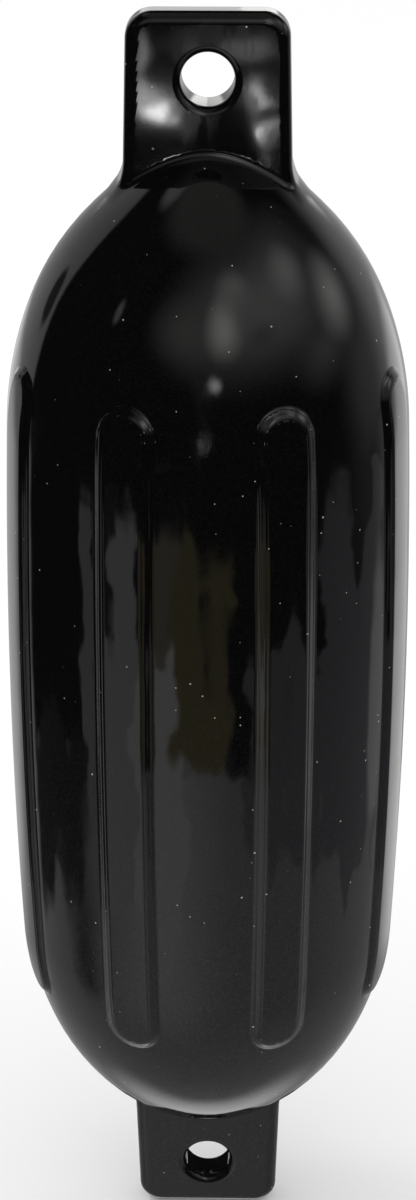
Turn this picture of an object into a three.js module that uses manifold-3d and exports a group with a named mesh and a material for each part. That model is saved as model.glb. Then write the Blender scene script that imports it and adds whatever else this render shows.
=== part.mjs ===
// Twin-eye pneumatic boat fender: a rotationally moulded, air-filled vinyl body with eight raised
// ribs and a rope eye at each end, and a rubber needle valve pressed into its rear upper shoulder.
// Millimetres, +Z up, the fender hangs upright. The origin is the middle of the top eye's hole, the
// eyes' holes run along Y, and the front of the fender faces -Y.

import * as THREE from "three";
import { mergeVertices } from "three/addons/utils/BufferGeometryUtils.js";
import Module from "manifold-3d";

const wasm = await Module();
wasm.setup();

const degrees = Math.PI / 180;

// Body of revolution: a barrel of large radius, then a shoulder arc and a nose arc towards each end.
const bodyRadius = 83;
const barrelLength = 228;
const barrelArcRadius = 2700;
const shoulderArcRadius = 147;
const shoulderSlope = 21.1 * degrees;
const noseArcRadius = 108.5;

// Rope eyes: drafted flat lugs with a rounded outline and rounded edges, blended into the noses.
const eyeLength = 50.3;
const eyeEndWidth = 62;
const eyeEndThickness = 14.6;
const eyeSideDraft = 1.45 * degrees;
const eyeFaceDraft = 4.3 * degrees;
const eyeCornerRadius = 10;
const eyeEdgeRadius = 4.4;
const eyeRootBlend = 9;

// Rope holes, with a lip that rolls from the bore out to the eye's faces.
const holeRadius = 10.2;
const holeFromEnd = 25.2;
const lipRadius = 3.5;
const lipTurn = 76 * degrees;
const lipCutDepth = 1;

// Ribs: raised strips with round ends, which run past the barrel onto the shoulders.
const ribCount = 8;
const ribWidth = 24.5;
const ribRunOut = 30;
const ribHeight = 1.8;
const ribWallWidth = 4.2;
const ribFootLift = 0.15;
const ribFootDepth = 1.5;

// Needle valve: a head in a round seat, a neck through the skin and a bulb that holds it inside.
const valveSlope = 35 * degrees;
const valveHeadRadius = 6.6;
const valveHeadThickness = 1.6;
const valveHeadChamfer = 0.5;
const valveSeatDepth = 1.4;
const skinThickness = 3.5;
const valveNeckRadius = 4;
const valveBulbRadius = 5.4;
const valveBulbLength = 9;
const valveBulbTaper = 5.4;
const valveBulbTipRadius = 2.6;
const needleRadius = 0.6;
const needleMouthRadius = 1.6;
const needleMouthDepth = 1;
const needleDepth = 8.2;
const valveClearance = 0.3;

// Facets.
const barrelSteps = 2;
const shoulderSteps = 5;
const noseSteps = 8;
const rootSteps = 6;
const eyeSteps = 1;
const endRoundSteps = 5;
const faceSectors = 7;
const cornerSectors = 5;
const sideSectors = 2;
const ribEndSteps = 8;
const ribWallSteps = 3;
const holeSectors = 28;
const lipSteps = 3;
const valveSectors = 24;

// Where a point counts as inside the skin, and how finely the skin is searched for.
const insideTolerance = 1e-4;
const searchSteps = 40;

// The three arcs of one half of the body, from the middle outwards: each has its centre, its radius
// and the slope at which it hands over to the next, and the nose arc ends on the axis.
const barrel = { radius: barrelArcRadius, axial: 0, radial: bodyRadius - barrelArcRadius };
barrel.slope = Math.asin(barrelLength / 2 / barrelArcRadius);

function arcAfter(previous, radius, slope) {
  const back = previous.radius - radius;
  return {
    radius,
    axial: previous.axial + back * Math.sin(previous.slope),
    radial: previous.radial + back * Math.cos(previous.slope),
    slope,
  };
}

const shoulder = arcAfter(barrel, shoulderArcRadius, shoulderSlope);
const nose = arcAfter(shoulder, noseArcRadius, 0);
nose.slope = Math.acos(-nose.radial / nose.radius);

function arcPoint(arc, slope) {
  return {
    radial: arc.radial + arc.radius * Math.cos(slope),
    axial: arc.axial + arc.radius * Math.sin(slope),
    slope,
  };
}

const noseTip = arcPoint(nose, nose.slope).axial;
const halfLength = noseTip + eyeLength;
const holeHeight = halfLength - holeFromEnd;

// The point of the profile at a height, with the slope of the skin there.
function profileAt(height) {
  const distance = Math.abs(height);
  const barrelEnd = arcPoint(barrel, barrel.slope).axial;
  const shoulderEnd = arcPoint(shoulder, shoulder.slope).axial;
  const arc = distance < barrelEnd ? barrel : distance < shoulderEnd ? shoulder : nose;
  const slope = Math.asin(Math.min((distance - arc.axial) / arc.radius, 1));
  return { radius: arcPoint(arc, slope).radial, slope: slope * Math.sign(height) };
}

// Signed distance from the body of revolution.
function distanceToBody(radial, height) {
  const axial = Math.abs(height);
  const slopeFrom = (arc) => Math.atan2(axial - arc.axial, radial - arc.radial);
  let arc = nose;
  if (slopeFrom(barrel) < barrel.slope) arc = barrel;
  else if (slopeFrom(shoulder) < shoulder.slope) arc = shoulder;
  return Math.hypot(axial - arc.axial, radial - arc.radial) - arc.radius;
}

// Half the thickness of an eye between its flat faces, at a distance from the fender's middle.
function eyeHalfThickness(distance) {
  return eyeEndThickness / 2 + (halfLength - distance) * Math.tan(eyeFaceDraft);
}

function eyeHalfWidth(distance) {
  return eyeEndWidth / 2 + (halfLength - distance) * Math.tan(eyeSideDraft);
}

// Signed distance from a lug: its outline with rounded corners, then its rounded edges.
function distanceToEye(across, through, height) {
  const distance = Math.abs(height);
  const overSide = Math.abs(across) - eyeHalfWidth(distance) + eyeCornerRadius;
  const overEnd = distance - halfLength + eyeCornerRadius;
  const overCorner = Math.hypot(Math.max(overSide, 0), Math.max(overEnd, 0));
  const overOutline = Math.min(Math.max(overSide, overEnd), 0) + overCorner - eyeCornerRadius;
  const overRim = overOutline + eyeEdgeRadius;
  const overFace = Math.abs(through) - eyeHalfThickness(distance) + eyeEdgeRadius;
  const overEdge = Math.hypot(Math.max(overRim, 0), Math.max(overFace, 0));
  return Math.min(Math.max(overRim, overFace), 0) + overEdge - eyeEdgeRadius;
}

// Signed distance from the whole skin without its ribs: both forms, joined by a rounded hollow.
function distanceToSkin(across, through, height) {
  const toBody = distanceToBody(Math.hypot(across, through), height);
  const toEye = distanceToEye(across, through, height);
  const overlap = Math.max(eyeRootBlend - Math.abs(toBody - toEye), 0);
  return Math.min(toBody, toEye) - (overlap * overlap) / (4 * eyeRootBlend);
}

// How far out the skin lies from the fender's axis, at an angle from the front and a height.
function skinRadius(angle, height) {
  let inside = 0;
  let outside = 2 * bodyRadius;
  for (let step = 0; step < searchSteps; step += 1) {
    const radius = (inside + outside) / 2;
    const toSkin = distanceToSkin(radius * Math.sin(angle), -radius * Math.cos(angle), height);
    if (toSkin < insideTolerance) inside = radius;
    else outside = radius;
  }
  return inside;
}

// Values at equal steps from one to another, without the last one.
function spread(from, to, steps) {
  return Array.from({ length: steps }, (_, step) => from + ((to - from) * step) / steps);
}

// Heights of the skin's rings above the middle: by the slope of each arc, so that they are closest
// where the skin curves inwards, then evenly up the eye's root and cheeks and round its end.
function ringHeights() {
  const heightOn = (arc) => (slope) => arcPoint(arc, slope).axial;
  const rootRadius = eyeHalfThickness(noseTip) + eyeRootBlend;
  const rootSlope = Math.acos((rootRadius - nose.radial) / nose.radius);
  const rootStart = heightOn(nose)(rootSlope);
  const rootEnd = noseTip + eyeRootBlend / 2;
  const roundStart = halfLength - eyeCornerRadius;
  return [
    ...spread(0, barrelLength / 2, barrelSteps),
    ...spread(barrel.slope, shoulder.slope, shoulderSteps).map(heightOn(shoulder)),
    ...spread(shoulder.slope, rootSlope, noseSteps).map(heightOn(nose)),
    ...spread(rootStart, rootEnd, rootSteps),
    ...spread(rootEnd, roundStart, eyeSteps),
    ...spread(0, Math.PI / 2, endRoundSteps).map((t) => roundStart + eyeCornerRadius * Math.sin(t)),
    halfLength,
  ];
}

// Angles of the skin's lines from the front round to the rear, closest at the edges of the eyes.
function lineAngles() {
  const edgeAngle = Math.atan2(eyeHalfWidth(holeHeight), eyeHalfThickness(holeHeight));
  const reach = (2 * eyeEdgeRadius) / eyeHalfWidth(holeHeight);
  const quarter = [
    ...spread(0, edgeAngle - reach, faceSectors),
    ...spread(edgeAngle - reach, edgeAngle + reach / 2, cornerSectors),
    ...spread(edgeAngle + reach / 2, Math.PI / 2, sideSectors),
  ];
  const half = [...quarter, Math.PI / 2, ...quarter.slice(1).reverse().map((a) => Math.PI - a)];
  return [...half, ...half.map((a) => a + Math.PI)];
}

// The triangles between two loops of points that follow each other in a list of positions.
function band(firstLoop, secondLoop, count) {
  const triangles = [];
  for (let n = 0; n < count; n += 1) {
    const next = (n + 1) % count;
    triangles.push([firstLoop + n, firstLoop + next, secondLoop + next]);
    triangles.push([firstLoop + n, secondLoop + next, secondLoop + n]);
  }
  return triangles;
}

// A solid from points and triangles, without the triangles that a shared point has closed up.
function solidFrom(positions, triangles) {
  const kept = triangles.filter(([a, b, c]) => a !== b && b !== c && c !== a);
  return new wasm.Manifold(
    new wasm.Mesh({
      numProp: 3,
      vertProperties: Float32Array.from(positions),
      triVerts: Uint32Array.from(kept.flat()),
    }),
  );
}

// A solid from a three.js geometry, with its shared points merged.
function solidFromGeometry(geometry) {
  const bare = geometry.clone();
  bare.deleteAttribute("normal");
  bare.deleteAttribute("uv");
  const merged = mergeVertices(bare, insideTolerance);
  const index = merged.index.array;
  const triangles = [];
  for (let n = 0; n < index.length; n += 3) triangles.push([...index.slice(n, n + 3)]);
  return solidFrom(merged.attributes.position.array, triangles);
}

function geometryFromSolid(solid) {
  const mesh = solid.getMesh();
  const geometry = new THREE.BufferGeometry();
  geometry.setAttribute("position", new THREE.BufferAttribute(mesh.vertProperties, 3));
  geometry.setIndex(new THREE.BufferAttribute(mesh.triVerts, 1));
  geometry.computeVertexNormals();
  return geometry;
}

// The skin's body and eyes: rings from the bottom end to the top end, each end closed by a flat.
function moulding() {
  const upper = ringHeights();
  const heights = [...upper.slice(1).reverse().map((height) => -height), ...upper];
  const angles = lineAngles();
  const positions = [];
  for (const height of heights) {
    for (const angle of angles) {
      const radius = skinRadius(angle, height);
      positions.push(radius * Math.sin(angle), -radius * Math.cos(angle), height);
    }
  }
  const triangles = [];
  const count = angles.length;
  for (let ring = 0; ring + 1 < heights.length; ring += 1) {
    triangles.push(...band(ring * count, (ring + 1) * count, count));
  }
  const bottom = positions.length / 3;
  const top = bottom + 1;
  positions.push(0, 0, heights[0], 0, 0, heights.at(-1));
  const lastRing = (heights.length - 1) * count;
  for (let n = 0; n < count; n += 1) {
    const next = (n + 1) % count;
    triangles.push([bottom, next, n], [top, lastRing + n, lastRing + next]);
  }
  return solidFrom(positions, triangles);
}

// One rib: loops of its outline, from the foot under the skin up the rounded wall to the crown,
// each laid on the body. A point of a loop is its distance across the rib and its height.
function ribLoop(inset) {
  const radius = ribWidth / 2 - inset;
  const straightEnd = barrelLength / 2 + ribRunOut - ribWidth / 2;
  const side = [...spread(0, barrelLength / 2, barrelSteps), barrelLength / 2];
  const turns = spread(0, Math.PI / 2, ribEndSteps / 2);
  const quarter = [
    ...side.map((height) => ({ across: radius, height })),
    ...turns.map((turn) => ({
      across: radius * Math.cos(turn),
      height: straightEnd + radius * Math.sin(turn),
    })),
  ];
  const apex = { across: 0, height: straightEnd + radius };
  const mirrored = quarter.map(({ across, height }) => ({ across: -across, height })).reverse();
  const upper = [...quarter, apex, ...mirrored];
  const lower = upper.slice(1, -1).map(({ across, height }) => ({ across, height: -height }));
  return [...upper, ...lower.reverse()];
}

function onBody({ across, height }, lift, bearing) {
  const { radius, slope } = profileAt(height);
  const angle = bearing + across / radius;
  const radial = radius + lift * Math.cos(slope);
  return [radial * Math.sin(angle), -radial * Math.cos(angle), height + lift * Math.sin(slope)];
}

// How high a rib's wall is at an inset: a hollow arc at its foot and an equal round arc at its crown.
function wallLift(inset) {
  const radius = (ribWallWidth ** 2 + ribHeight ** 2) / (4 * ribHeight);
  const nearer = Math.min(inset, ribWallWidth - inset);
  const sag = radius - Math.sqrt(radius ** 2 - nearer ** 2);
  return inset > ribWallWidth / 2 ? ribHeight - sag : sag;
}

function rib(bearing) {
  const layers = [{ inset: 0, lift: -ribFootDepth }];
  for (let step = 0; step <= ribWallSteps; step += 1) {
    const inset = (ribWallWidth * step) / ribWallSteps;
    layers.push({ inset, lift: Math.max(wallLift(inset), ribFootLift) });
  }
  const positions = [];
  const triangles = [];
  const count = ribLoop(0).length;
  for (const { inset, lift } of layers) {
    for (const point of ribLoop(inset)) positions.push(...onBody(point, lift, bearing));
  }
  for (let layer = 0; layer + 1 < layers.length; layer += 1) {
    triangles.push(...band(layer * count, (layer + 1) * count, count));
  }
  // The foot and the crown are closed in rows across the rib, and the crown bends over a spine.
  const crown = (layers.length - 1) * count;
  const crownLoop = ribLoop(ribWallWidth);
  const apex = count / 4;
  const rows = Array.from({ length: count / 2 + 1 }, (_, row) => ({
    right: (apex - row + count) % count,
    left: (apex + row) % count,
  }));
  const spine = rows.map(({ right, left }) => {
    if (right === left) return crown + right;
    const { height } = crownLoop[right];
    positions.push(...onBody({ across: 0, height }, ribHeight, bearing));
    return positions.length / 3 - 1;
  });
  for (let row = 0; row + 1 < rows.length; row += 1) {
    const { right, left } = rows[row];
    const below = rows[row + 1];
    triangles.push([crown + right, spine[row], spine[row + 1]]);
    triangles.push([crown + right, spine[row + 1], crown + below.right]);
    triangles.push([spine[row], crown + left, crown + below.left]);
    triangles.push([spine[row], crown + below.left, spine[row + 1]]);
    triangles.push([right, below.left, left], [right, below.right, below.left]);
  }
  return solidFrom(positions, triangles);
}

// A turned form about the Y axis, from points of radius and length that start and end on the axis.
function lathe(points, sectors) {
  const profile = points.map(([radius, length]) => new THREE.Vector2(radius, length));
  return new THREE.LatheGeometry(profile, sectors);
}

// Cuts one rope hole right through an eye, flaring over both lips, which follow the drafted faces.
function ropeHole(height) {
  const face = eyeHalfThickness(holeHeight);
  const reach = face + lipCutDepth;
  const lip = [...spread(0, lipTurn, lipSteps), lipTurn].map((turn) => [
    holeRadius + lipRadius * (1 - Math.cos(turn)),
    face - lipRadius + lipRadius * Math.sin(turn),
  ]);
  const [flareRadius, flareEnd] = lip.at(-1);
  const side = [...lip, [flareRadius + (reach - flareEnd) * Math.tan(lipTurn), reach], [0, reach]];
  const mirrored = side.map(([radius, through]) => [radius, -through]).reverse();
  const geometry = lathe([...mirrored, ...side], holeSectors);
  const points = geometry.attributes.position;
  for (let n = 0; n < points.count; n += 1) {
    const slant = points.getZ(n) * Math.sign(height) * Math.tan(eyeFaceDraft);
    points.setY(n, points.getY(n) - slant * Math.sign(points.getY(n)));
  }
  return solidFromGeometry(geometry.translate(0, 0, height));
}

// The valve sits high on the rear of the upper nose: its axis is the skin's normal.
const valvePlace = arcPoint(nose, valveSlope);

function placeOnRear(geometry) {
  return geometry.rotateX(valvePlace.slope).translate(0, valvePlace.radial, valvePlace.axial);
}

const headTop = valveHeadThickness - valveSeatDepth;
const bulbTop = -valveSeatDepth - skinThickness;
const bulbBottom = bulbTop - valveBulbLength;

function valveGeometry() {
  const profile = [
    [0, bulbBottom],
    [valveBulbTipRadius, bulbBottom],
    [valveBulbRadius, bulbBottom + valveBulbTaper],
    [valveBulbRadius, bulbTop],
    [valveNeckRadius, bulbTop],
    [valveNeckRadius, -valveSeatDepth],
    [valveHeadRadius, -valveSeatDepth],
    [valveHeadRadius, headTop - valveHeadChamfer],
    [valveHeadRadius - valveHeadChamfer, headTop],
    [needleMouthRadius, headTop],
    [needleRadius, headTop - needleMouthDepth],
    [needleRadius, headTop - needleDepth],
    [0, headTop - needleDepth],
  ];
  return placeOnRear(lathe(profile, valveSectors));
}

// The seat, the neck's hole and the room for the bulb, each clear of the valve all round.
function valvePocket() {
  const profile = [
    [0, bulbBottom - valveClearance],
    [valveBulbRadius + valveClearance, bulbBottom - valveClearance],
    [valveBulbRadius + valveClearance, bulbTop + valveClearance],
    [valveNeckRadius + valveClearance, bulbTop + valveClearance],
    [valveNeckRadius + valveClearance, -valveSeatDepth - valveClearance],
    [valveHeadRadius + valveClearance, -valveSeatDepth - valveClearance],
    [valveHeadRadius + valveClearance, valveHeadRadius],
    [0, valveHeadRadius],
  ];
  return solidFromGeometry(placeOnRear(lathe(profile, valveSectors)));
}

function fenderBody() {
  let body = moulding();
  for (let n = 0; n < ribCount; n += 1) body = body.add(rib(((n + 0.5) * 2 * Math.PI) / ribCount));
  body = body.subtract(ropeHole(holeHeight));
  body = body.subtract(ropeHole(-holeHeight));
  return geometryFromSolid(body.subtract(valvePocket()));
}

const glossyVinyl = new THREE.MeshStandardMaterial({ color: 0x0d0d0e, roughness: 0.12, metalness: 0 });
const valveRubber = new THREE.MeshStandardMaterial({ color: 0x1a1a1a, roughness: 0.65, metalness: 0 });

function piece(name, geometry, material) {
  const mesh = new THREE.Mesh(geometry, material);
  mesh.name = name;
  return mesh;
}

const fender = new THREE.Group();
fender.add(piece("fender_body", fenderBody(), glossyVinyl));
fender.add(piece("inflation_valve", valveGeometry(), valveRubber));

// The origin moves from the fender's middle to the middle of the top eye's hole.
fender.position.z = -holeHeight;

export default fender;
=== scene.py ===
import bpy, bmesh, math
import numpy as np
from mathutils import Matrix, Vector


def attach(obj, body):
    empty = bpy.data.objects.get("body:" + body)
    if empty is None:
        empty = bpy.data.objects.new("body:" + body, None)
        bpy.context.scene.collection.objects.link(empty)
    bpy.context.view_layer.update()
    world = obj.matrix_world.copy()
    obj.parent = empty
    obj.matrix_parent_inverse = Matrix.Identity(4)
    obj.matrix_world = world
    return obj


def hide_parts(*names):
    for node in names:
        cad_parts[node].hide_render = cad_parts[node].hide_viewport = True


# Twin-eye pneumatic boat fender: glossy black vinyl with eight raised ribs, upright on a pale studio
# floor. The part's frame: metres, +Z up, the origin in the top eye's hole, the front faces -Y. Sizes
# below are millimetres, as in the part's own source, unless a note says otherwise.

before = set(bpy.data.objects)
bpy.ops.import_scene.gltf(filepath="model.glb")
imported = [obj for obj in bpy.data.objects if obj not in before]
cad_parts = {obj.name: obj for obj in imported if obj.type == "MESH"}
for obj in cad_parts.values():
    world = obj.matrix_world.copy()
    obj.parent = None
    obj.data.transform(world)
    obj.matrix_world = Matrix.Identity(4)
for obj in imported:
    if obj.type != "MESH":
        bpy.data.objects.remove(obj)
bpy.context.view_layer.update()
mm = 0.001
bpy.context.scene.view_settings.view_transform = "Standard"


def srgb(code):
    # sRGB hex code to linear RGBA
    parts = [int(code[i:i + 2], 16) / 255 for i in (1, 3, 5)]
    return [c / 12.92 if c <= 0.04045 else ((c + 0.055) / 1.055) ** 2.4 for c in parts] + [1.0]


def addNode(tree, kind, settings=None, inputs=None):
    # one node with its settings; each input is a socket to link from or a plain value
    node = tree.nodes.new(kind)
    for name, value in (settings or {}).items():
        setattr(node, name, value)
    for name, value in (inputs or {}).items():
        if isinstance(value, bpy.types.NodeSocket):
            tree.links.new(value, node.inputs[name])
        else:
            node.inputs[name].default_value = value
    return node


cameraPlace = {
    "distance": 965.1,          # from the fender's axis, on the level
    "aboveMiddle": 494.1,       # above the fender's middle
    "turn": 0.92,               # degrees round the fender from its front
    "pitch": 25.65,             # degrees down
    "lens": 77.32,
    "sensor": 36,               # the frame's long side
    "clipStart": 50,
    "middleHeight": -250.92,    # of the fender's middle
}


def makeCamera(place):
    data = bpy.data.cameras.new("photoCamera")
    data.lens = place["lens"]
    data.sensor_width = place["sensor"]
    data.clip_start = place["clipStart"] * mm
    camera = bpy.data.objects.new("photoCamera", data)
    turn = math.radians(place["turn"])
    camera.location = (
        place["distance"] * mm * math.sin(turn),
        -place["distance"] * mm * math.cos(turn),
        (place["middleHeight"] + place["aboveMiddle"]) * mm,
    )
    camera.rotation_euler = (math.radians(90 - place["pitch"]), 0, turn)
    bpy.context.collection.objects.link(camera)
    bpy.context.scene.camera = camera
    return camera


makeCamera(cameraPlace)
print("camera placed")

# the sizes of the body, named as in the part's own source
bodySizes = {
    "bodyRadius": 83, "barrelLength": 228, "barrelArcRadius": 2700,
    "shoulderArcRadius": 147, "shoulderSlope": 21.1, "noseArcRadius": 108.5,
    "eyeLength": 50.3, "eyeEndWidth": 62, "eyeEndThickness": 14.6,
    "eyeSideDraft": 1.45, "eyeFaceDraft": 4.3, "eyeCornerRadius": 10,
    "eyeEdgeRadius": 4.4, "eyeRootBlend": 9,
    "holeRadius": 10.2, "holeFromEnd": 25.2, "lipRadius": 3.5, "lipTurn": 76,
    "ribCount": 8, "ribWidth": 24.5, "ribRunOut": 30, "ribHeight": 1.8,
}
ribLook = {
    "footSpread": 0.6,     # how far the rib's foot runs out beyond the width of the CAD's faceted one
    "wallWidth": 5.4,      # from the rib's foot to its flat crown
    "steeper": 3.0,        # how many times steeper the ribs' walls shade than they stand
    "creaseBlend": 2.5,    # the eye's root shades as tight as this blend, and its shape is eyeRootBlend
}


def arcAfter(previous, radius, slope):
    back = previous["radius"] - radius
    return {
        "radius": radius, "slope": slope,
        "axial": previous["axial"] + back * math.sin(previous["slope"]),
        "radial": previous["radial"] + back * math.cos(previous["slope"]),
    }


barrel = {"radius": bodySizes["barrelArcRadius"], "axial": 0.0,
          "radial": bodySizes["bodyRadius"] - bodySizes["barrelArcRadius"],
          "slope": math.asin(bodySizes["barrelLength"] / 2 / bodySizes["barrelArcRadius"])}
shoulder = arcAfter(barrel, bodySizes["shoulderArcRadius"], math.radians(bodySizes["shoulderSlope"]))
nose = arcAfter(shoulder, bodySizes["noseArcRadius"], 0)
nose["slope"] = math.acos(-nose["radial"] / nose["radius"])


def heightOn(arc, slope):
    return arc["axial"] + arc["radius"] * math.sin(slope)


noseTip = heightOn(nose, nose["slope"])
halfLength = noseTip + bodySizes["eyeLength"]
holeHeight = halfLength - bodySizes["holeFromEnd"]


def distanceToBody(radial, height):
    # signed distance from the body of revolution: barrel, shoulder and nose arcs
    axial = np.abs(height)
    result = np.hypot(axial - nose["axial"], radial - nose["radial"]) - nose["radius"]
    for arc in (shoulder, barrel):
        within = np.arctan2(axial - arc["axial"], radial - arc["radial"]) < arc["slope"]
        toArc = np.hypot(axial - arc["axial"], radial - arc["radial"]) - arc["radius"]
        result = np.where(within, toArc, result)
    return result


def eyeHalfThickness(distance):
    draft = math.tan(math.radians(bodySizes["eyeFaceDraft"]))
    return bodySizes["eyeEndThickness"] / 2 + (halfLength - distance) * draft


def eyeHalfWidth(distance):
    draft = math.tan(math.radians(bodySizes["eyeSideDraft"]))
    return bodySizes["eyeEndWidth"] / 2 + (halfLength - distance) * draft


def distanceToEye(across, through, height):
    # signed distance from a drafted lug with rounded corners and edges
    distance = np.abs(height)
    overSide = np.abs(across) - eyeHalfWidth(distance) + bodySizes["eyeCornerRadius"]
    overEnd = distance - halfLength + bodySizes["eyeCornerRadius"]
    overCorner = np.hypot(np.maximum(overSide, 0), np.maximum(overEnd, 0))
    overOutline = np.minimum(np.maximum(overSide, overEnd), 0) + overCorner - bodySizes["eyeCornerRadius"]
    overRim = overOutline + bodySizes["eyeEdgeRadius"]
    overFace = np.abs(through) - eyeHalfThickness(distance) + bodySizes["eyeEdgeRadius"]
    overEdge = np.hypot(np.maximum(overRim, 0), np.maximum(overFace, 0))
    return np.minimum(np.maximum(overRim, overFace), 0) + overEdge - bodySizes["eyeEdgeRadius"]


def distanceToSkin(across, through, height, blend=bodySizes["eyeRootBlend"]):
    # the nearer of the body and the eye, with a rounded hollow between them
    toBody = distanceToBody(np.hypot(across, through), height)
    toEye = distanceToEye(across, through, height)
    overlap = np.maximum(blend - np.abs(toBody - toEye), 0)
    return np.minimum(toBody, toEye) - overlap * overlap / (4 * blend)


skinMesh = {
    "ribLines": 33,          # lines across each rib, where its walls need them
    "ribMargin": 0.6,        # how far beyond the rib's foot they reach on either side
    "grooveLines": 6,        # lines across a groove between two ribs
    "sideLines": 18,         # lines across the grooves that run up to the narrow sides of the eyes
    "barrelRows": 12, "runOutRows": 44, "shoulderRows": 13, "noseRows": 9,
    "rootRows": 34, "eyeRows": 8, "endRows": 16,
    "runOutMargin": 2,       # how far beyond the ribs' ends the close rows reach
    "rootBelow": 16, "rootAbove": 10,    # the reach of the close rows round the eye's root
    "halvings": 40, "closeness": 1e-4,
}


def skinRadius(angle, height):
    # how far out the skin lies from the axis, found by halving
    inside = np.zeros_like(angle)
    outside = np.full_like(angle, 2 * bodySizes["bodyRadius"])
    for _ in range(skinMesh["halvings"]):
        radius = (inside + outside) / 2
        toSkin = distanceToSkin(radius * np.sin(angle), -radius * np.cos(angle), height)
        within = toSkin < skinMesh["closeness"]
        inside = np.where(within, radius, inside)
        outside = np.where(within, outside, radius)
    return inside


def spread(start, end, steps):
    return [start + (end - start) * i / steps for i in range(steps)]


def skinHeights(s):
    runOutStart = bodySizes["barrelLength"] / 2
    runOutEnd = runOutStart + bodySizes["ribRunOut"] + s["runOutMargin"]
    shoulderEnd = heightOn(shoulder, shoulder["slope"])
    rootStart = noseTip - s["rootBelow"]
    rootEnd = noseTip + s["rootAbove"]
    roundStart = halfLength - bodySizes["eyeCornerRadius"]
    rise = [math.sin(t) for t in spread(0, math.pi / 2, s["endRows"])]
    upper = (
        spread(0, runOutStart, s["barrelRows"]) + spread(runOutStart, runOutEnd, s["runOutRows"])
        + spread(runOutEnd, shoulderEnd, s["shoulderRows"]) + spread(shoulderEnd, rootStart, s["noseRows"])
        + spread(rootStart, rootEnd, s["rootRows"]) + spread(rootEnd, roundStart, s["eyeRows"])
        + [roundStart + bodySizes["eyeCornerRadius"] * r for r in rise] + [halfLength]
    )
    return [-h for h in reversed(upper[1:])] + upper


def skinAngles(s):
    # counted from the front towards +X, closest across the ribs
    pitch = 2 * math.pi / bodySizes["ribCount"]
    half = (bodySizes["ribWidth"] / 2 + ribLook["footSpread"] + s["ribMargin"]) / bodySizes["bodyRadius"]
    angles = []
    for n in range(bodySizes["ribCount"]):
        centre = (n + 0.5) * pitch
        angles += spread(centre - half, centre + half, s["ribLines"])
        narrowSide = math.isclose(abs(math.sin(centre + pitch / 2)), 1)    # the groove faces +X or -X
        lines = s["sideLines"] if narrowSide else s["grooveLines"]
        angles += spread(centre + half, centre + pitch - half, lines)
    return angles


def makeSkin():
    heights = np.array(skinHeights(skinMesh))
    angles = np.array(skinAngles(skinMesh))
    angleGrid, heightGrid = np.meshgrid(angles, heights)
    radius = skinRadius(angleGrid, heightGrid)
    points = np.stack([radius * np.sin(angleGrid), -radius * np.cos(angleGrid),
                       heightGrid - holeHeight], axis=-1).reshape(-1, 3) * mm
    rows, count = len(heights), len(angles)
    n = np.arange(count)
    following = (n + 1) % count
    faces = []
    for row in range(rows - 1):
        low, high = row * count, (row + 1) * count
        faces += np.stack([low + n, low + following, high + following, high + n], axis=-1).tolist()
    bottom, top = len(points), len(points) + 1
    points = np.vstack([points, [0, 0, points[0][2]], [0, 0, points[-1][2]]])
    last = (rows - 1) * count
    faces += [[bottom, int(following[i]), int(i)] for i in n]
    faces += [[top, int(last + i), int(last + following[i])] for i in n]
    mesh = bpy.data.meshes.new("fenderSkin")
    mesh.from_pydata(points.tolist(), [], faces)
    mesh.shade_smooth()
    return mesh


def link(name, mesh):
    piece = bpy.data.objects.new(name, mesh)
    bpy.context.collection.objects.link(piece)
    return piece


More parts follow.
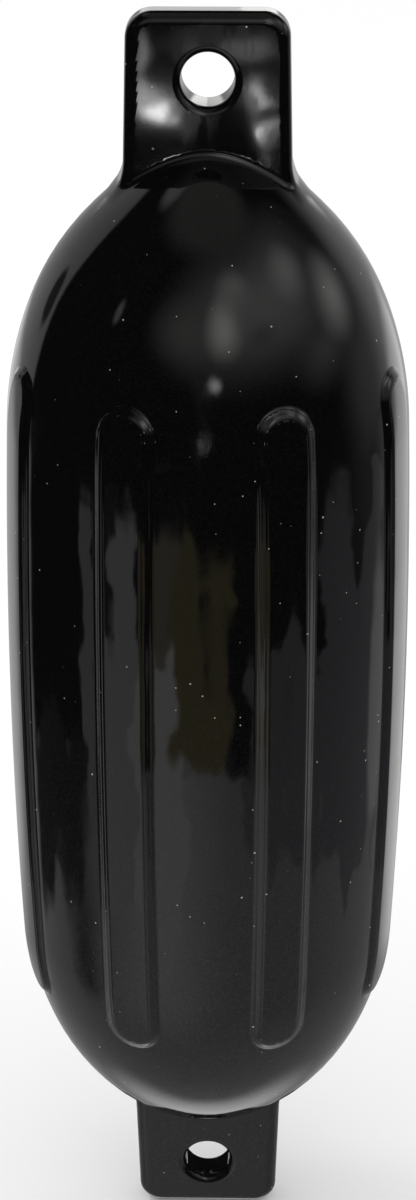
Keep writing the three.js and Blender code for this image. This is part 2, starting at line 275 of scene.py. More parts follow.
def ribTree():
    # raises evenly spaced strips with round ends out of a skin of revolution about Z
    tree = bpy.data.node_groups.new("raisedRibs", "GeometryNodeTree")
    face = tree.interface
    face.new_socket(name="Skin", in_out="INPUT", socket_type="NodeSocketGeometry")
    for name in ("Count", "Width", "Height", "Wall Width", "Straight End", "Middle Height"):
        face.new_socket(name=name, in_out="INPUT", socket_type="NodeSocketFloat")
    face.new_socket(name="Finish", in_out="INPUT", socket_type="NodeSocketMaterial")
    face.new_socket(name="Ribbed Skin", in_out="OUTPUT", socket_type="NodeSocketGeometry")
    given = addNode(tree, "NodeGroupInput").outputs
    place = addNode(tree, "GeometryNodeInputPosition").outputs[0]
    known = dict(addNode(tree, "ShaderNodeSeparateXYZ", inputs={0: place}).outputs.items())
    known.update(given.items())
    # the height of the ribs over a point, step by step: where it lies round the fender, how far that is
    # from the nearest rib's edge, and how high the wall is there. The wall is a hollow arc at its foot
    # and an equal round arc at its crown.
    steps = [
        ("forward", "MULTIPLY", "Y", -1),
        ("angle", "ARCTAN2", "X", "forward"),
        ("pitches", "MULTIPLY", "angle", "Count"),
        ("turns", "DIVIDE", "pitches", 2 * math.pi),
        ("whole", "FLOOR", "turns"),
        ("part", "SUBTRACT", "turns", "whole"),
        ("share", "SUBTRACT", "part", 0.5),
        ("x2", "MULTIPLY", "X", "X"),
        ("radius2", "MULTIPLY_ADD", "Y", "Y", "x2"),
        ("radius", "SQRT", "radius2"),
        ("arcShare", "MULTIPLY", "share", 2 * math.pi),
        ("ribAngle", "DIVIDE", "arcShare", "Count"),
        ("across", "MULTIPLY", "ribAngle", "radius"),
        ("height", "SUBTRACT", "Z", "Middle Height"),
        ("rise", "ABSOLUTE", "height"),
        ("beyond", "SUBTRACT", "rise", "Straight End"),
        ("along", "MAXIMUM", "beyond", 0),
        ("across2", "MULTIPLY", "across", "across"),
        ("reach2", "MULTIPLY_ADD", "along", "along", "across2"),
        ("reach", "SQRT", "reach2"),
        ("halfWidth", "MULTIPLY", "Width", 0.5),
        ("depth", "SUBTRACT", "halfWidth", "reach"),
        ("inside", "MAXIMUM", "depth", 0),
        ("inset", "MINIMUM", "inside", "Wall Width"),
        ("wall2", "MULTIPLY", "Wall Width", "Wall Width"),
        ("wallSum", "MULTIPLY_ADD", "Height", "Height", "wall2"),
        ("height4", "MULTIPLY", "Height", 4),
        ("arc", "DIVIDE", "wallSum", "height4"),
        ("farther", "SUBTRACT", "Wall Width", "inset"),
        ("nearer", "MINIMUM", "inset", "farther"),
        ("nearer2", "MULTIPLY", "nearer", "nearer"),
        ("arc2", "MULTIPLY", "arc", "arc"),
        ("drop2", "SUBTRACT", "arc2", "nearer2"),
        ("drop", "SQRT", "drop2"),
        ("sag", "SUBTRACT", "arc", "drop"),
        ("halfWall", "MULTIPLY", "Wall Width", 0.5),
        ("upper", "GREATER_THAN", "inset", "halfWall"),
        ("sagTwice", "MULTIPLY", "sag", 2),
        ("fromTop", "SUBTRACT", "Height", "sagTwice"),
        ("lift", "MULTIPLY_ADD", "upper", "fromTop", "sag"),
    ]
    for name, operation, *terms in steps:
        inputs = {index: known.get(term, term) for index, term in enumerate(terms)}
        known[name] = addNode(tree, "ShaderNodeMath", {"operation": operation}, inputs).outputs[0]
    normal = addNode(tree, "GeometryNodeInputNormal").outputs[0]
    offset = addNode(tree, "ShaderNodeVectorMath", {"operation": "SCALE"}, {
        0: normal, "Scale": known["lift"]})
    raised = addNode(tree, "GeometryNodeSetPosition", inputs={
        "Geometry": given["Skin"], "Offset": offset.outputs[0]})
    real = addNode(tree, "GeometryNodeRealizeInstances", inputs={"Geometry": raised.outputs[0]})
    dressed = addNode(tree, "GeometryNodeSetMaterial", inputs={
        "Geometry": real.outputs[0], "Material": given["Finish"]})
    addNode(tree, "NodeGroupOutput", inputs={"Ribbed Skin": dressed.outputs[0]})
    return tree


def runNodes(piece, tree, inputs):
    # gives a piece its tree, sets the inputs by socket identifier and keeps the result as a plain mesh
    modifier = piece.modifiers.new(tree.name, "NODES")
    modifier.node_group = tree
    known = {item.name: item.identifier for item in tree.interface.items_tree
             if item.item_type == "SOCKET" and item.in_out == "INPUT"}
    for name, value in inputs.items():
        modifier[known[name]] = value
    return bakeModifiers(piece)


def bakeModifiers(piece):
    # what the modifiers make becomes the piece's plain mesh
    graph = bpy.context.evaluated_depsgraph_get()
    graph.update()
    mesh = bpy.data.meshes.new_from_object(piece.evaluated_get(graph), depsgraph=graph)
    piece.modifiers.clear()
    old = piece.data
    piece.data = mesh
    bpy.data.meshes.remove(old)
    return piece


mergeDistance = 1e-7    # metres


def turned(name, profile, sectors):
    # a form turned about Z from points of radius and height that start and end on the axis
    points, faces, rings = [], [], []
    turns = [2 * math.pi * i / sectors for i in range(sectors)]
    for radius, height in profile:
        if radius == 0:
            rings.append([len(points)])
            points.append((0, 0, height))
            continue
        rings.append(list(range(len(points), len(points) + sectors)))
        points += [(radius * math.cos(t), radius * math.sin(t), height) for t in turns]
    for low, high in zip(rings, rings[1:]):
        for i in range(sectors):
            j = (i + 1) % sectors
            if len(low) == 1:
                faces.append((low[0], high[j], high[i]))
            elif len(high) == 1:
                faces.append((low[i], low[j], high[0]))
            else:
                faces.append((low[i], low[j], high[j], high[i]))
    mesh = bpy.data.meshes.new(name)
    mesh.from_pydata([[c * mm for c in p] for p in points], [], faces)
    form = bmesh.new()
    form.from_mesh(mesh)
    bmesh.ops.remove_doubles(form, verts=form.verts, dist=mergeDistance)
    bmesh.ops.recalc_face_normals(form, faces=form.faces)
    form.to_mesh(mesh)
    form.free()
    return mesh


def placeMesh(mesh, turnX, across, through, height):
    # turns a mesh about X by an angle, then moves it, in millimetres
    move = Matrix.Translation((across * mm, through * mm, height * mm))
    mesh.transform(move @ Matrix.Rotation(turnX, 4, "X"))
    return mesh


holeCut = {"sectors": 120, "lipSteps": 14, "beyondFace": 1}


def holeCutter(height):
    # what the rope hole takes out of an eye, with the rounded lips on both faces
    hole, lipRadius = bodySizes["holeRadius"], bodySizes["lipRadius"]
    face = eyeHalfThickness(holeHeight)
    reach = face + holeCut["beyondFace"]
    turn = math.radians(bodySizes["lipTurn"])
    lip = [(hole + lipRadius * (1 - math.cos(t)), face - lipRadius + lipRadius * math.sin(t))
           for t in [turn * i / holeCut["lipSteps"] for i in range(holeCut["lipSteps"] + 1)]]
    radius, end = lip[-1]
    side = lip + [(radius + (reach - end) * math.tan(turn), reach), (0, reach)]
    profile = [(r, -h) for r, h in reversed(side)] + side
    mesh = placeMesh(turned("holeCut", profile, holeCut["sectors"]), math.radians(90), 0, 0, 0)
    slant = math.tan(math.radians(bodySizes["eyeFaceDraft"])) * math.copysign(1, height)
    for point in mesh.vertices:  # the lips follow the drafted faces
        point.co.y -= math.copysign(1, point.co.y) * point.co.z * slant
    return placeMesh(mesh, 0, 0, 0, height - holeHeight)


valveSizes = {
    "slope": 35, "headRadius": 6.6, "headThickness": 1.6, "headRound": 0.5, "seatDepth": 1.4,
    "skinThickness": 3.5, "neckRadius": 4, "bulbRadius": 5.4, "bulbLength": 9,
    "bulbTaper": 5.4, "bulbTipRadius": 2.6, "needleRadius": 0.6, "mouthRadius": 1.6,
    "mouthDepth": 1, "mouthRound": 0.5, "mouthTurn": 150, "needleDepth": 8.2, "clearance": 0.3,
    "headSteps": 6, "mouthSteps": 4, "sectors": 72,
    "sharpAngle": 35,    # degrees, past which an edge shades as sharp
    "headGroove": [(4.9, 0), (4.7, 0.18), (4.3, 0.18), (4.1, 0)],    # radius and depth under the head's top
    # the rounded edge of the seat that the head sinks into: out from its wall, and above the skin
    "seatRim": [(0.0, -0.55), (0.06, -0.32), (0.2, -0.14), (0.42, -0.02), (0.9, 0.12), (2.2, 1.6)],
}
headTop = valveSizes["headThickness"] - valveSizes["seatDepth"]
bulbTop = -valveSizes["seatDepth"] - valveSizes["skinThickness"]
bulbBottom = bulbTop - valveSizes["bulbLength"]
valveRadial = nose["radial"] + nose["radius"] * math.cos(math.radians(valveSizes["slope"]))
valveAxial = heightOn(nose, math.radians(valveSizes["slope"]))


def placeOnRear(mesh):
    # the CAD turns its forms about Y; here they are turned about Z, a quarter turn away
    return placeMesh(mesh, math.radians(valveSizes["slope"] - 90), 0, valveRadial, valveAxial - holeHeight)


def headCorner(centreRadius, radius, start, end, steps):
    # an arc from one angle to another, whose highest point is level with the head's top
    turns = [math.radians(start + (end - start) * i / steps) for i in range(steps + 1)]
    return [(centreRadius + radius * math.cos(t), headTop - radius + radius * math.sin(t)) for t in turns]


def valveMesh():
    # from the bulb's inner end out over the head's top and down the needle hole
    v = valveSizes
    rim, lip = v["headRound"], v["mouthRound"]
    head = headCorner(v["headRadius"] - rim, rim, 0, 90, v["headSteps"])
    mouth = headCorner(v["mouthRadius"] + lip, lip, 90, v["mouthTurn"], v["mouthSteps"])
    profile = [
        (0, bulbBottom), (v["bulbTipRadius"], bulbBottom), (v["bulbRadius"], bulbBottom + v["bulbTaper"]),
        (v["bulbRadius"], bulbTop), (v["neckRadius"], bulbTop), (v["neckRadius"], -v["seatDepth"]),
        (v["headRadius"], -v["seatDepth"]), *head,
        *[(radius, headTop - depth) for radius, depth in v["headGroove"]], *mouth,
        (v["needleRadius"], headTop - v["mouthDepth"]), (v["needleRadius"], headTop - v["needleDepth"]),
        (0, headTop - v["needleDepth"]),
    ]
    return placeOnRear(turned("inflationValve", profile, v["sectors"]))


def pocketCutter():
    # the valve's room in the moulding, with a little air all round and an open top
    v, c = valveSizes, valveSizes["clearance"]
    rim = [(v["headRadius"] + c + out, up) for out, up in v["seatRim"]]
    profile = [
        (0, bulbBottom - c), (v["bulbRadius"] + c, bulbBottom - c), (v["bulbRadius"] + c, bulbTop + c),
        (v["neckRadius"] + c, bulbTop + c), (v["neckRadius"] + c, -v["seatDepth"] - c),
        (v["headRadius"] + c, -v["seatDepth"] - c), *rim, (0, rim[-1][1]),
    ]
    return placeOnRear(turned("pocketCut", profile, v["sectors"]))


def glossyVinyl():
    # soft PVC, rotationally moulded against a polished mould: a deep black with a wet gloss, a faint
    # orange peel and slow waves that bend what it mirrors, and a little dust that clings to it
    look = {
        "colour": "#060607", "ior": 1.52,
        "peelGrain": 2.2, "peelDepth": 0.0009,
        "waveLength": 30, "waveDepth": 0.24,
        "waveOnEyes": 0.05,                       # the share of the waves' depth that the eyes have
        "waveLow": 0.3, "waveHigh": 0.7,          # the noise's own range, from smoothest to roughest
        "smoothest": 0.03, "roughest": 0.055,
        "eyeDentLength": 27, "eyeDentDepth": 0.09,
        "eyeStart": 206, "eyeFull": 224,          # from the fender's middle, where the dents fade in
        "dustColour": "#a09c94", "dustCell": 5, "dustSize": 0.40,
        "dustFrom": 0.35,                         # the share of cells that stay clean
        "powderColour": "#1d1d1e",
        "powderGrain": 0.8,                       # drawn coarser than the real powder, so that it shows
        "powderFull": -460, "powderLeast": -180,  # heights from the top eye's hole
        "powderLeastShare": 0.15,
        "speckLow": 0.42, "speckHigh": 0.68,
        "smearLength": 60, "smearTurn": (0.3, 0.5, 0.2), "smearStretch": (2.6, 2.6, 0.6),
        "smearLow": 0.52, "smearHigh": 0.72, "smearRoughness": 0.2,
    }
    material = bpy.data.materials.new("rotomouldedGlossyVinyl")
    material.use_nodes = True
    tree = material.node_tree
    tree.nodes.clear()
    where = addNode(tree, "ShaderNodeTexCoord").outputs["Object"]
    peel = addNode(tree, "ShaderNodeTexNoise", inputs={
        "Vector": where, "Scale": 1 / (look["peelGrain"] * mm), "Detail": 1.0})
    wave = addNode(tree, "ShaderNodeTexNoise", inputs={
        "Vector": where, "Scale": 1 / (look["waveLength"] * mm), "Detail": 1.6, "Roughness": 0.40})
    # the thick eyes shrink unevenly as they cool, which dents their faces
    height = addNode(tree, "ShaderNodeSeparateXYZ", inputs={0: where}).outputs["Z"]
    fromMiddle = addNode(tree, "ShaderNodeMath", {"operation": "ADD"}, {0: height, 1: holeHeight * mm})
    rise = addNode(tree, "ShaderNodeMath", {"operation": "ABSOLUTE"}, {0: fromMiddle.outputs[0]})
    eyeShare = addNode(tree, "ShaderNodeMapRange", {"interpolation_type": "SMOOTHSTEP"}, {
        "Value": rise.outputs[0], "From Min": look["eyeStart"] * mm, "From Max": look["eyeFull"] * mm})
    dent = addNode(tree, "ShaderNodeTexNoise", inputs={
        "Vector": where, "Scale": 1 / (look["eyeDentLength"] * mm), "Detail": 1.0, "Roughness": 0.5})
    dents = addNode(tree, "ShaderNodeMath", {"operation": "MULTIPLY"}, {
        0: dent.outputs[0], 1: eyeShare.outputs[0]})
    uneven = addNode(tree, "ShaderNodeBump", inputs={
        "Height": dents.outputs[0], "Strength": 1.0, "Distance": look["eyeDentDepth"] * mm})
    # the slow waves all but end on the eyes
    waveShare = addNode(tree, "ShaderNodeMapRange", inputs={
        "Value": eyeShare.outputs[0], "To Min": 1.0, "To Max": look["waveOnEyes"]})
    waves = addNode(tree, "ShaderNodeMath", {"operation": "MULTIPLY"}, {
        0: wave.outputs[0], 1: waveShare.outputs[0]})
    slow = addNode(tree, "ShaderNodeBump", inputs={
        "Height": waves.outputs[0], "Normal": uneven.outputs[0],
        "Strength": 1.0, "Distance": look["waveDepth"] * mm})
    fine = addNode(tree, "ShaderNodeBump", inputs={
        "Height": peel.outputs[0], "Normal": slow.outputs[0],
        "Strength": 1.0, "Distance": look["peelDepth"] * mm})
    # dust: a small pale grain in some cells
    cell = addNode(tree, "ShaderNodeTexVoronoi", {"feature": "F1"}, {
        "Vector": where, "Scale": 1 / (look["dustCell"] * mm)})
    pick = addNode(tree, "ShaderNodeSeparateColor", inputs={0: cell.outputs["Color"]})
    size = addNode(tree, "ShaderNodeMapRange", inputs={
        "Value": pick.outputs[0], "From Min": look["dustFrom"], "From Max": 1.0,
        "To Min": 0.0, "To Max": look["dustSize"] / look["dustCell"]})
    grain = addNode(tree, "ShaderNodeMath", {"operation": "LESS_THAN"}, {
        0: cell.outputs["Distance"], 1: size.outputs[0]})
    # a finer powder, thickest low down, where it settles on the widening barrel
    powder = addNode(tree, "ShaderNodeTexNoise", inputs={
        "Vector": where, "Scale": 1 / (look["powderGrain"] * mm), "Detail": 1.0})
    settled = addNode(tree, "ShaderNodeMapRange", {"interpolation_type": "SMOOTHSTEP"}, {
        "Value": height, "From Min": look["powderFull"] * mm, "From Max": look["powderLeast"] * mm,
        "To Min": 1.0, "To Max": look["powderLeastShare"]})
    specks = addNode(tree, "ShaderNodeMapRange", inputs={
        "Value": powder.outputs[0], "From Min": look["speckLow"], "From Max": look["speckHigh"]})
    powderShare = addNode(tree, "ShaderNodeMath", {"operation": "MULTIPLY"}, {
        0: specks.outputs[0], 1: settled.outputs[0]})
    # inputs 6 and 7 and output 2 are a Mix node's colours
    ground = addNode(tree, "ShaderNodeMix", {"data_type": "RGBA"}, {
        "Factor": powderShare.outputs[0], 6: srgb(look["colour"]), 7: srgb(look["powderColour"])})
    tone = addNode(tree, "ShaderNodeMix", {"data_type": "RGBA"}, {
        "Factor": grain.outputs[0], 6: ground.outputs[2], 7: srgb(look["dustColour"])})
    # handling leaves slanting smears that dull the gloss a little
    slant = addNode(tree, "ShaderNodeMapping", inputs={
        "Vector": where, "Rotation": look["smearTurn"], "Scale": look["smearStretch"]})
    smear = addNode(tree, "ShaderNodeTexNoise", inputs={
        "Vector": slant.outputs[0], "Scale": 1 / (look["smearLength"] * mm),
        "Detail": 5.0, "Roughness": 0.62})
    smearShare = addNode(tree, "ShaderNodeMapRange", {"interpolation_type": "SMOOTHSTEP"}, {
        "Value": smear.outputs[0], "From Min": look["smearLow"], "From Max": look["smearHigh"],
        "To Min": 0.0, "To Max": look["smearRoughness"] - look["roughest"]})
    polish = addNode(tree, "ShaderNodeMapRange", inputs={
        "Value": wave.outputs[0], "From Min": look["waveLow"], "From Max": look["waveHigh"],
        "To Min": look["smoothest"], "To Max": look["roughest"]})
    shine = addNode(tree, "ShaderNodeMath", {"operation": "ADD"}, {
        0: polish.outputs[0], 1: smearShare.outputs[0]})
    skin = addNode(tree, "ShaderNodeBsdfPrincipled", inputs={
        "Base Color": tone.outputs[2], "Roughness": shine.outputs[0],
        "Normal": fine.outputs[0], "IOR": look["ior"]})
    addNode(tree, "ShaderNodeOutputMaterial", inputs={"Surface": skin.outputs[0]})
    return material


def valveRubber():
    # compression-moulded soft rubber: matt black-grey that scatters light evenly, with a fine grain
    look = {
        "colour": "#1b1b1c", "ior": 1.52, "grain": 0.5, "grainDepth": 0.018,    # grain in millimetres
        "grainLow": 0.3, "grainHigh": 0.7,    # the noise's own range, from smoothest to roughest
        "smoothest": 0.55, "roughest": 0.72,
    }
    material = bpy.data.materials.new("mouldedSoftRubber")
    material.use_nodes = True
    tree = material.node_tree
    tree.nodes.clear()
    where = addNode(tree, "ShaderNodeTexCoord").outputs["Object"]
    grain = addNode(tree, "ShaderNodeTexNoise", inputs={
        "Vector": where, "Scale": 1 / (look["grain"] * mm), "Detail": 2.0})
    bump = addNode(tree, "ShaderNodeBump", inputs={
        "Height": grain.outputs[0], "Strength": 1.0, "Distance": look["grainDepth"] * mm})
    shine = addNode(tree, "ShaderNodeMapRange", inputs={
        "Value": grain.outputs[0], "From Min": look["grainLow"], "From Max": look["grainHigh"],
        "To Min": look["smoothest"], "To Max": look["roughest"]})
    skin = addNode(tree, "ShaderNodeBsdfPrincipled", inputs={
        "Base Color": srgb(look["colour"]), "Roughness": shine.outputs[0],
        "Normal": bump.outputs[0], "IOR": look["ior"]})
    addNode(tree, "ShaderNodeOutputMaterial", inputs={"Surface": skin.outputs[0]})
    return material


vinyl = glossyVinyl()
rubber = valveRubber()
print("materials made")

# where a rib's straight sides end and its round end starts, over the fender's middle
ribStraightEnd = bodySizes["barrelLength"] / 2 + bodySizes["ribRunOut"] - bodySizes["ribWidth"] / 2

body = link("ribbedBody", makeSkin())
runNodes(body, ribTree(), {
    "Count": float(bodySizes["ribCount"]), "Width": (bodySizes["ribWidth"] + 2 * ribLook["footSpread"]) * mm,
    "Height": bodySizes["ribHeight"] * mm, "Wall Width": ribLook["wallWidth"] * mm,
    "Straight End": ribStraightEnd * mm, "Middle Height": -holeHeight * mm, "Finish": vinyl,
})
print("ribbed skin:", len(body.data.polygons), "faces")

cutters = [link("cut", mesh) for mesh in (holeCutter(holeHeight), holeCutter(-holeHeight), pocketCutter())]
for cutter in cutters:
    cutter.data.shade_smooth()
    cut = body.modifiers.new("cut", "BOOLEAN")
    cut.operation = "DIFFERENCE"
    cut.solver = "MANIFOLD"
    cut.object = cutter
bakeModifiers(body)
for cutter in cutters:
    bpy.data.meshes.remove(cutter.data)
print("holes cut:", len(body.data.polygons), "faces")


def ribLift(x, y, z):
    # height of the ribs over the skin, as the tree raises them
    angle = np.arctan2(x, -y)
    turns = angle * bodySizes["ribCount"] / (2 * math.pi)
    across = (turns - np.floor(turns) - 0.5) * 2 * math.pi / bodySizes["ribCount"] * np.hypot(x, y)
    along = np.maximum(np.abs(z) - ribStraightEnd, 0)
    wall, height = ribLook["wallWidth"], bodySizes["ribHeight"]
    inset = np.clip(bodySizes["ribWidth"] / 2 + ribLook["footSpread"] - np.hypot(across, along), 0, wall)
    arc = (wall * wall + height * height) / (4 * height)
    sag = arc - np.sqrt(arc * arc - np.minimum(inset, wall - inset) ** 2)
    return np.where(inset > wall / 2, height - sag, sag)


def skinField(p, wallGain=1.0, blend=bodySizes["eyeRootBlend"]):
    # near zero on the ribbed skin; a gain makes the ribs count for more than their height
    return distanceToSkin(p[:, 0], p[:, 1], p[:, 2], blend) - wallGain * ribLift(p[:, 0], p[:, 1], p[:, 2])


normalTest = {
    "step": 0.02,          # over which the field's slope is taken
    "leastSlope": 1e-9,    # so that nothing is divided by zero
    "nearness": 0.05,      # how close to zero the field is on the skin
    "facing": 0.35,        # least cosine between a face and the normals at its corners
}


def exactNormals(mesh, wallGain, blend):
    # the skin's shading normals come from its own formula, so that no facet shows in the gloss; the
    # ribs' walls shade steeper and the eyes' roots tighter than they stand, as crisp mould edges do.
    # The holes and the valve's seat keep the normals of their mesh.
    points = np.zeros(len(mesh.vertices) * 3)
    mesh.vertices.foreach_get("co", points)
    points = points.reshape(-1, 3) / mm + [0, 0, holeHeight]
    steps = normalTest["step"] * np.eye(3)
    normals = np.stack([skinField(points + step, wallGain, blend) - skinField(points - step, wallGain, blend)
                        for step in steps], axis=-1)
    normals /= np.maximum(np.linalg.norm(normals, axis=1, keepdims=True), normalTest["leastSlope"])
    onSkin = np.abs(skinField(points)) < normalTest["nearness"]
    faceNormals = np.zeros(len(mesh.polygons) * 3)
    mesh.polygons.foreach_get("normal", faceNormals)
    faceNormals = faceNormals.reshape(-1, 3)
    custom = np.zeros((len(mesh.loops), 3))
    for polygon in mesh.polygons:
        ids = list(polygon.vertices)
        facing = (normals[ids] @ faceNormals[polygon.index]).min()
        if onSkin[ids].all() and facing > normalTest["facing"]:
            custom[polygon.loop_start:polygon.loop_start + polygon.loop_total] = normals[ids]
    mesh.normals_split_custom_set(custom.tolist())


exactNormals(body.data, ribLook["steeper"], ribLook["creaseBlend"])
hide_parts("fender_body")
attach(body, "root")
print("body finished")

valve = link("needleValve", valveMesh())
valve.data.materials.append(rubber)
valve.data.shade_smooth()
valve.data.set_sharp_from_angle(angle=math.radians(valveSizes["sharpAngle"]))
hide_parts("inflation_valve")
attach(valve, "root")
print("valve finished")

studio = {
    "floorHeight": -527.1,    # just under the lower eye's end
    "floorSize": 160000, "floorColour": "#fafafa", "skyLight": 1.0,
    "keyPlace": (-1.2, 0.9, 1.6), "keySize": 0.6, "keyPower": 8,    # metres and watts
}


def floorMaterial():
    # matt painted board: one even pale tone that only takes the shadow
    material = bpy.data.materials.new("paleStudioFloor")
    material.use_nodes = True
    tree = material.node_tree
    tree.nodes.clear()
    paint = addNode(tree, "ShaderNodeBsdfDiffuse", inputs={"Color": srgb(studio["floorColour"])})
    addNode(tree, "ShaderNodeOutputMaterial", inputs={"Surface": paint.outputs[0]})
    return material


def makeFloor():
    half, height = studio["floorSize"] * mm / 2, studio["floorHeight"] * mm
    mesh = bpy.data.meshes.new("studioFloor")
    corners = [(-half, -half, height), (half, -half, height), (half, half, height), (-half, half, height)]
    mesh.from_pydata(corners, [], [(0, 1, 2, 3)])
    mesh.materials.append(floorMaterial())
    floor = link("studioFloor", mesh)
    floor.visible_glossy = False    # the gloss mirrors the painted reflections on the cards instead


def makeWorld():
    # an even white light; seen directly, in gloss or through glass it is full white at any skyLight
    world = bpy.data.worlds.new("softStudio")
    bpy.context.scene.world = world
    world.use_nodes = True
    tree = world.node_tree
    tree.nodes.clear()
    path = addNode(tree, "ShaderNodeLightPath").outputs
    seen = addNode(tree, "ShaderNodeMath", {"operation": "MAXIMUM"},
                   {0: path["Is Camera Ray"], 1: path["Is Glossy Ray"]})
    seen = addNode(tree, "ShaderNodeMath", {"operation": "MAXIMUM"},
                   {0: seen.outputs[0], 1: path["Is Transmission Ray"]})
    strength = addNode(tree, "ShaderNodeMapRange", inputs={
        "Value": seen.outputs[0], "To Min": studio["skyLight"], "To Max": 1.0})
    light = addNode(tree, "ShaderNodeBackground", inputs={
        "Strength": strength.outputs[0], "Color": (1, 1, 1, 1)})
    addNode(tree, "ShaderNodeOutputWorld", inputs={"Surface": light.outputs[0]})


# Painted reflections: what the gloss mirrors is painted as light on a dome that only the gloss sees, a dark
# studio with a pale table, soft boxes and their haze at the front right, and grey cards at both sides and
# behind. A patch has its azimuth and elevation from the fender's middle, half width and half height in
# degrees, how soft and how square it is, how ragged its edge is and its light. A later patch covers an
# earlier one.
dome = {
    "radius": 6000, "across": 400,
    # from, to and how many rows, closest where the barrel stretches what it mirrors
    "bands": [(-90, -38, 40), (-38, -14, 200), (-14, 90, 110)],
    # what bends ragged edges up and down, and sideways: sines with their size, how fast they run round
    # and up, and their start
    "ripple": [(1, 0.21, 0, 0.9), (0.5, 0.47, 0.5, 0.4)],
    "sway": [(4, 0.05, 1.0, 0), (2, 0, 2.7, 1.3)],
    # the painted dark of the reflections, where no patch lies
    "paintedDark": (0.002, 0.002, 0.002),
    "table": {"edge": -29.3, "soft": 0.6, "ragged": 0.45, "light": (0.37, 0.37, 0.37)},
    "roof": {"edge": 68, "soft": 14.0, "ragged": 0.0, "light": (0.19, 0.19, 0.175)},
    "patches": [
        # the table, brightest at the left, and the dark over its far edge
        (-26, -36, 48, 30, 1.0, 2, 0, (0.72, 0.71, 0.70)),
        (52, -42, 40, 14, 1.0, 2, 0, (0.31, 0.31, 0.32)),
        (-82, -38, 16, 9, 0.9, 2, 0, (0.10, 0.10, 0.10)),
        (-100, -31, 34, 4, 0.3, 3, 0.7, (0.03, 0.03, 0.03)),
        (-18, -19.5, 60, 9.5, 0.06, 8, 0.6, (0.002, 0.002, 0.002)),
        # what stands along the table's edge: pale boards at the left, brown ones in the middle
        (-69.5, -25.6, 5.0, 6.5, 0.08, 5, 0.5, (0.36, 0.36, 0.37)),
        (-50, -27, 13, 8.5, 0.06, 6, 0.5, (0.53, 0.53, 0.54)),
        (-56, -20, 5, 3.5, 0.1, 3, 0.8, (0.03, 0.03, 0.025)),
        (-24, -22, 10, 4, 0.3, 3, 0.6, (0.28, 0.26, 0.20)),
        (-26, -31, 15, 7.0, 0.08, 4, 0.7, (0.76, 0.75, 0.74)),
        (-3, -24.5, 18, 5.3, 0.15, 4, 0.7, (0.24, 0.21, 0.09)),
        (-1, -22, 4, 1.0, 0.3, 2, 0.4, (0.02, 0.02, 0.01)),
        (1, -24.6, 3, 0.7, 0.3, 2, 0.2, (0.03, 0.03, 0.01)),
        # grey boards at the right
        (45, -28.8, 22, 5.0, 0.08, 6, 0.8, (0.22, 0.22, 0.235)),
        (90, -26, 26, 8, 0.06, 5, 1.1, (0.215, 0.215, 0.23)),
        (96, -17, 9, 5.5, 0.12, 2, 0.6, (0.03, 0.03, 0.03)),
        (113, -27, 9, 6, 0.4, 2, 0, (0.60, 0.60, 0.60)),
        # grey cards at both sides, towards the back, which light the rims
        (104, 0, 28, 28, 1.0, 2, 0, (0.27, 0.27, 0.27)),
        (-147, 0, 31, 46, 0.1, 4, 0, (0.44, 0.44, 0.44)),
        (-126, 8, 6, 9, 0.4, 2, 0, (0.05, 0.05, 0.05)),
        (-150, -22, 22, 14, 0.4, 3, 0, (1.02, 1.02, 1.01)),
        (150, -2, 46, 44, 0.6, 3, 0, (0.60, 0.60, 0.60)),
        (142, -20, 20, 20, 0.4, 3, 0, (1.40, 1.40, 1.39)),
        # the soft boxes and their haze
        (44, 42, 92, 34, 1.0, 3, 0, (0.70, 0.70, 0.68)),
        (-14, 36, 34, 20, 1.0, 2, 0, (0.42, 0.42, 0.40)),
        (78, 15, 30, 13, 1.0, 2, 0, (0.36, 0.36, 0.36)),
        (38, 30, 16, 9, 1.0, 2, 0, (0.36, 0.36, 0.35)),
        (24, 52, 22, 12, 1.0, 2, 0, (1.10, 1.10, 1.07)),
        (78, 45, 24, 13, 1.0, 2, 0, (1.15, 1.15, 1.12)),
        (12, 37, 17, 17, 1.0, 2, 0, (1.90, 1.90, 1.84)),
        (101, 24, 22, 16, 1.0, 2, 0, (1.45, 1.45, 1.41)),
        (123, 40, 9, 20, 0.8, 2, 0, (0.05, 0.05, 0.05)),
        (154, 40, 7, 14, 0.5, 2, 0, (1.10, 1.10, 1.10)),
        # cards right behind, high, middle and low, and two small lights in front
        (-136, 64, 34, 8, 0.6, 2, 0, (0.55, 0.55, 0.54)),
        (180, 15, 34, 9, 0.5, 3, 0, (2.60, 2.60, 2.56)),
        (-180, 15, 34, 9, 0.5, 3, 0, (1.70, 1.70, 1.67)),
        (180, -70, 90, 17, 0.8, 2, 0, (1.25, 1.25, 1.24)),
        (-180, -70, 90, 17, 0.8, 2, 0, (1.25, 1.25, 1.24)),
        (5, 17, 6, 3, 0.9, 2, 0, (3.20, 3.20, 3.15)),
        (-67, 32, 3, 6, 0.6, 2, 0, (0.60, 0.60, 0.57)),
    ],
}


def eased(share):
    # a blend from 0 to 1 that starts and ends gently, ready to weigh a colour's three parts
    share = np.clip(share, 0, 1)
    return (share * share * (3 - 2 * share))[..., None]


def waver(waves, azimuth, elevation):
    return sum(size * np.sin(turning * azimuth + rising * elevation + start)
               for size, turning, rising, start in waves)


def domeLight(azimuth, elevation):
    # the light that the dome gives from each direction
    light = np.zeros(azimuth.shape + (3,)) + dome["paintedDark"]
    ripple = waver(dome["ripple"], azimuth, elevation)
    sway = waver(dome["sway"], azimuth, elevation)
    for side, sign in ((dome["table"], -1), (dome["roof"], 1)):
        beyond = sign * (elevation - side["edge"] - side["ragged"] * ripple)
        light += eased(beyond / side["soft"] + 0.5) * (np.array(side["light"]) - light)
    for centre, middle, wide, high, soft, square, ragged, colour in dome["patches"]:
        across = np.abs(azimuth - centre + ragged * sway) / wide
        up = np.abs(elevation - middle + ragged * ripple) / high
        reach = (across ** square + up ** square) ** (1 / square)
        light += eased((1 - reach) / soft) * (np.array(colour) - light)
    return light


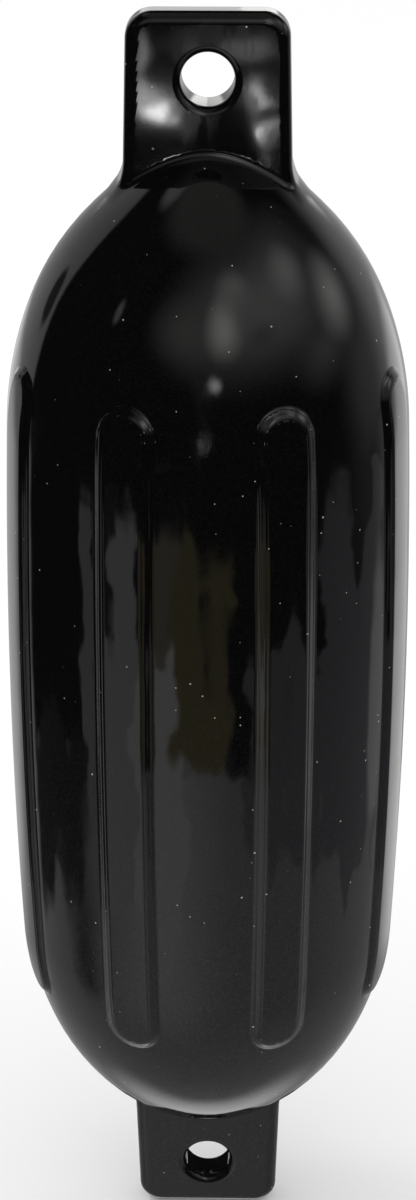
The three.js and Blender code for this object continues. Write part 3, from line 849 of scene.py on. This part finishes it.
def cardMaterial():
    # painted reflections: an even glow that only the gloss sees, each part at the light painted into its
    # glow colour
    material = bpy.data.materials.new("paintedReflectionGlow")
    material.use_nodes = True
    tree = material.node_tree
    tree.nodes.clear()
    glow = addNode(tree, "ShaderNodeAttribute", {"attribute_name": "glow"})
    shade = addNode(tree, "ShaderNodeEmission", inputs={"Color": glow.outputs["Color"], "Strength": 1.0})
    addNode(tree, "ShaderNodeOutputMaterial", inputs={"Surface": shade.outputs[0]})
    return material


def makeCard(name, points, light):
    # a card from a grid of points with the light that each gives
    rows, wide = points.shape[:2]
    faces = [(row * wide + i, row * wide + i + 1, (row + 1) * wide + i + 1, (row + 1) * wide + i)
             for row in range(rows - 1) for i in range(wide - 1)]
    mesh = bpy.data.meshes.new(name)
    mesh.from_pydata(points.reshape(-1, 3).tolist(), [], faces)
    glow = mesh.attributes.new("glow", "FLOAT_COLOR", "POINT")
    glow.data.foreach_set("color", np.dstack([light, np.ones((rows, wide))]).astype(np.float32).reshape(-1))
    mesh.materials.append(reflectionGlow)
    card = link(name, mesh)
    for kind in ("camera", "diffuse", "transmission", "volume_scatter", "shadow"):
        setattr(card, "visible_" + kind, False)    # only the gloss sees it


reflectionGlow = cardMaterial()


def makeDome():
    rows = np.unique(np.concatenate([np.linspace(*band) for band in dome["bands"]]))
    azimuth, elevation = np.meshgrid(np.linspace(-180, 180, dome["across"] + 1), rows)
    turn, rise = np.radians(azimuth), np.radians(elevation)
    level = np.cos(rise)
    directions = np.stack([level * np.sin(turn), -level * np.cos(turn), np.sin(rise)], axis=-1)
    points = dome["radius"] * mm * directions
    points[..., 2] += cameraPlace["middleHeight"] * mm
    makeCard("paintedReflectionDome", points, domeLight(azimuth, elevation))


# Painted highlights for the flat of the top eye: what it mirrors is a far black board, seen only in the
# gloss, with glowing spots painted on it, each with its place across and up, half width and half height in
# degrees as seen from the eye, how soft it is and its light. They are strong because the gloss gives back
# only about 4 % of what stands square before it.
highlightCard = {
    "away": 2400, "acrossEnds": (-4.6, 4.0), "upEnds": (-8.6, -3.4), "stepsAcross": 130, "stepsUp": 90,
    "lights": [
        (-0.3, -4.60, 2.5, 0.55, 1.0, 1.6),
        (0.4, -4.62, 1.1, 0.45, 1.0, 2.2),
        (-2.95, -4.9, 0.42, 0.9, 1.0, 3.6),
        (-2.9, -6.05, 0.62, 0.75, 0.9, 8.0),
        (-2.5, -6.55, 0.36, 0.36, 0.4, 34.0),
        (-1.9, -6.85, 0.18, 0.14, 0.4, 30.0),
        (0.55, -5.95, 0.30, 0.30, 0.5, 8.0),
        (0.72, -6.20, 0.2, 0.22, 0.4, 18.0),
        (0.85, -7.20, 0.26, 0.20, 0.5, 30.0),
        (-2.2, -5.6, 0.5, 0.4, 1.0, 0.8),
        (1.9, -5.2, 0.5, 1.2, 1.0, 1.0),
    ],
}


def makeHighlightCard(card):
    across, up = np.meshgrid(np.linspace(*card["acrossEnds"], card["stepsAcross"] + 1),
                             np.linspace(*card["upEnds"], card["stepsUp"] + 1))
    points = card["away"] * mm * np.stack([np.tan(np.radians(across)), np.full(across.shape, -1.0),
                                           np.tan(np.radians(up))], axis=-1)
    light = np.zeros(across.shape + (3,)) + dome["paintedDark"]
    for centre, middle, wide, high, soft, strength in card["lights"]:
        reach = np.hypot((across - centre) / wide, (up - middle) / high)
        light += eased((1 - reach) / soft) * (strength - light)
    makeCard("paintedHighlightCard", points, light)


# painted shade: a black card, seen only in the gloss, close behind the lower eye, which darkens the wall of
# its hole
shadeCard = {"away": 38, "halfWidth": 52, "height": 48, "light": 0.01}


def makeShadeCard(card):
    across, up = np.meshgrid(np.array([-1.0, 1.0]), np.array([0.0, 1.0]))
    points = np.stack([card["halfWidth"] * across, np.full(across.shape, card["away"]),
                       studio["floorHeight"] + card["height"] * up], axis=-1) * mm
    makeCard("paintedShadeCard", points, np.full(across.shape + (3,), card["light"]))


def makeLamp(name, place, size, power):
    data = bpy.data.lights.new(name, "AREA")
    data.shape = "SQUARE"
    data.size = size
    data.energy = power
    lamp = bpy.data.objects.new(name, data)
    lamp.location = place
    aim = Vector((0, 0, cameraPlace["middleHeight"] * mm)) - Vector(place)
    lamp.rotation_euler = aim.to_track_quat("-Z", "Y").to_euler()
    lamp.visible_glossy = False    # the cards are what the gloss mirrors
    bpy.context.collection.objects.link(lamp)
    return lamp


makeFloor()
makeWorld()
makeDome()
makeHighlightCard(highlightCard)
makeShadeCard(shadeCard)
makeLamp("keyBox", studio["keyPlace"], studio["keySize"], studio["keyPower"])
print("studio set")
